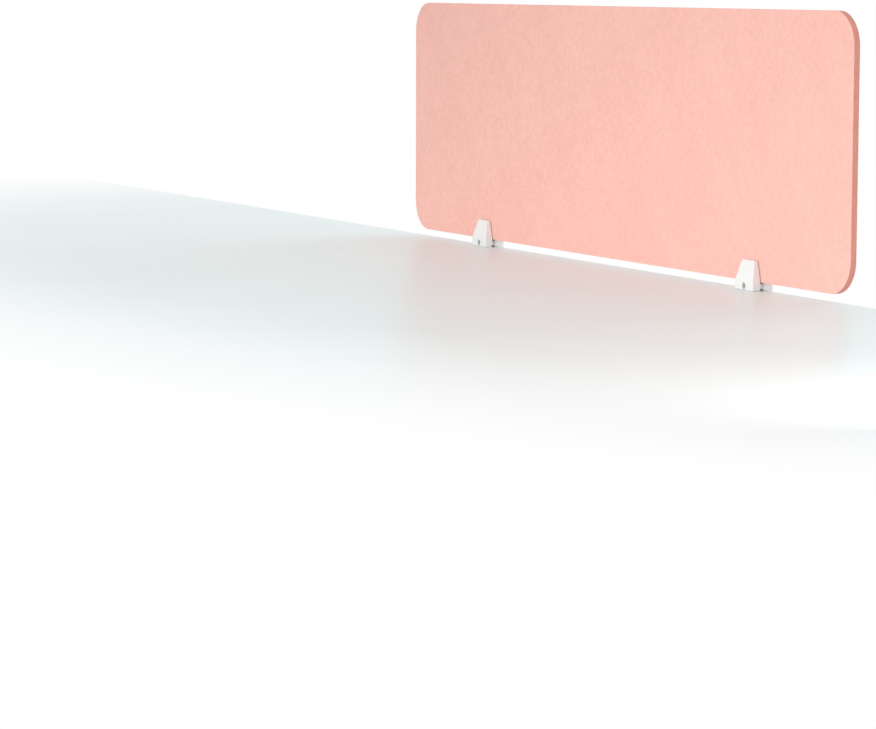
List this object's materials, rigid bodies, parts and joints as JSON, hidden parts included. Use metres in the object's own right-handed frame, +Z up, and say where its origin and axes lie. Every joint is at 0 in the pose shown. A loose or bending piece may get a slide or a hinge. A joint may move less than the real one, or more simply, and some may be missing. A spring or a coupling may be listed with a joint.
{
  "type": "desk privacy panel",
  "caption": "Rectangular felt desk privacy panel with rounded corners, held upright on the rear edge of a desktop by screw clamps with wedge-shaped front jaws.",
  "frame": {"origin": "on the desktop's rear top edge, midway between the two clamps", "axes": "+X along the panel towards its right end as its user sees it, +Y away from the user, over the edge of the desktop, +Z up"},
  "size_m": [1.4, 0.0464, 0.4985],
  "materials": {
    "felt": "salmon pink pressed polyester felt, matt, fine mottled fibres",
    "white_coat": "fine satin white powder coat on a die casting",
    "pad_rubber": "pale grey matt rubber",
    "bolt_steel": "zinc plated steel",
    "screw_steel": "bright zinc plated rolled thread",
    "foot_steel": "turned and zinc plated steel",
    "knob_plastic": "fine textured white moulded plastic"
  },
  "bodies": {
    "panel": {"felt_panel": "felt"},
    "left_clamp": {"left_clamp_frame": "white_coat", "left_rear_pad": "pad_rubber", "left_edge_pad": "pad_rubber"},
    "left_jaw": {"left_front_jaw": "white_coat", "left_front_pad": "pad_rubber", "left_desk_pad": "pad_rubber"},
    "left_bolt": {"left_jaw_bolt": "bolt_steel", "left_bolt_washer": "bolt_steel"},
    "left_foot": {"left_pressure_foot": "foot_steel", "left_foot_pad": "pad_rubber"},
    "left_screw": {"left_clamp_screw": "screw_steel", "left_knob": "knob_plastic", "left_knob_cap": "knob_plastic", "left_foot_clip": "bolt_steel"},
    "right_clamp": {"right_clamp_frame": "white_coat", "right_rear_pad": "pad_rubber", "right_edge_pad": "pad_rubber"},
    "right_jaw": {"right_front_jaw": "white_coat", "right_front_pad": "pad_rubber", "right_desk_pad": "pad_rubber"},
    "right_bolt": {"right_jaw_bolt": "bolt_steel", "right_bolt_washer": "bolt_steel"},
    "right_foot": {"right_pressure_foot": "foot_steel", "right_foot_pad": "pad_rubber"},
    "right_screw": {"right_clamp_screw": "screw_steel", "right_knob": "knob_plastic", "right_knob_cap": "knob_plastic", "right_foot_clip": "bolt_steel"}
  },
  "joints": [
    {"name": "left_clamp_slide", "type": "slide", "parent": "panel", "child": "left_clamp", "axis": [1, 0, 0], "range_m": [-0.2, 0.37]},
    {"name": "left_jaw_slide", "type": "slide", "parent": "left_clamp", "child": "left_jaw", "axis": [0, -1, 0], "range_m": [0, 0.004]},
    {"name": "left_bolt_turn", "type": "hinge", "parent": "left_jaw", "child": "left_bolt", "pos_m": [-0.431, -0.02, 0.0065], "axis": [0, -1, 0], "range_deg": [0, 1800]},
    {"name": "left_foot_slide", "type": "slide", "parent": "left_clamp", "child": "left_foot", "axis": [0, 0, 1], "range_m": [-0.022, 0.008]},
    {"name": "left_screw_turn", "type": "hinge", "parent": "left_foot", "child": "left_screw", "pos_m": [-0.431, -0.02, -0.04], "axis": [0, 0, 1], "range_deg": [-6336, 2304]},
    {"name": "right_clamp_slide", "type": "slide", "parent": "panel", "child": "right_clamp", "axis": [1, 0, 0], "range_m": [-0.37, 0.18]},
    {"name": "right_jaw_slide", "type": "slide", "parent": "right_clamp", "child": "right_jaw", "axis": [0, -1, 0], "range_m": [0, 0.004]},
    {"name": "right_bolt_turn", "type": "hinge", "parent": "right_jaw", "child": "right_bolt", "pos_m": [0.431, -0.02, 0.0065], "axis": [0, -1, 0], "range_deg": [0, 1800]},
    {"name": "right_foot_slide", "type": "slide", "parent": "right_clamp", "child": "right_foot", "axis": [0, 0, 1], "range_m": [-0.022, 0.008]},
    {"name": "right_screw_turn", "type": "hinge", "parent": "right_foot", "child": "right_screw", "pos_m": [0.431, -0.02, -0.04], "axis": [0, 0, 1], "range_deg": [-6336, 2304]}
  ],
  "couplings": [
    {"joint": "left_bolt_turn", "follows": "left_jaw_slide", "rad_per_m": 7853.9},
    {"joint": "left_screw_turn", "follows": "left_foot_slide", "rad_per_m": 5026.5},
    {"joint": "right_bolt_turn", "follows": "right_jaw_slide", "rad_per_m": 7853.9},
    {"joint": "right_screw_turn", "follows": "right_foot_slide", "rad_per_m": 5026.5}
  ]
}
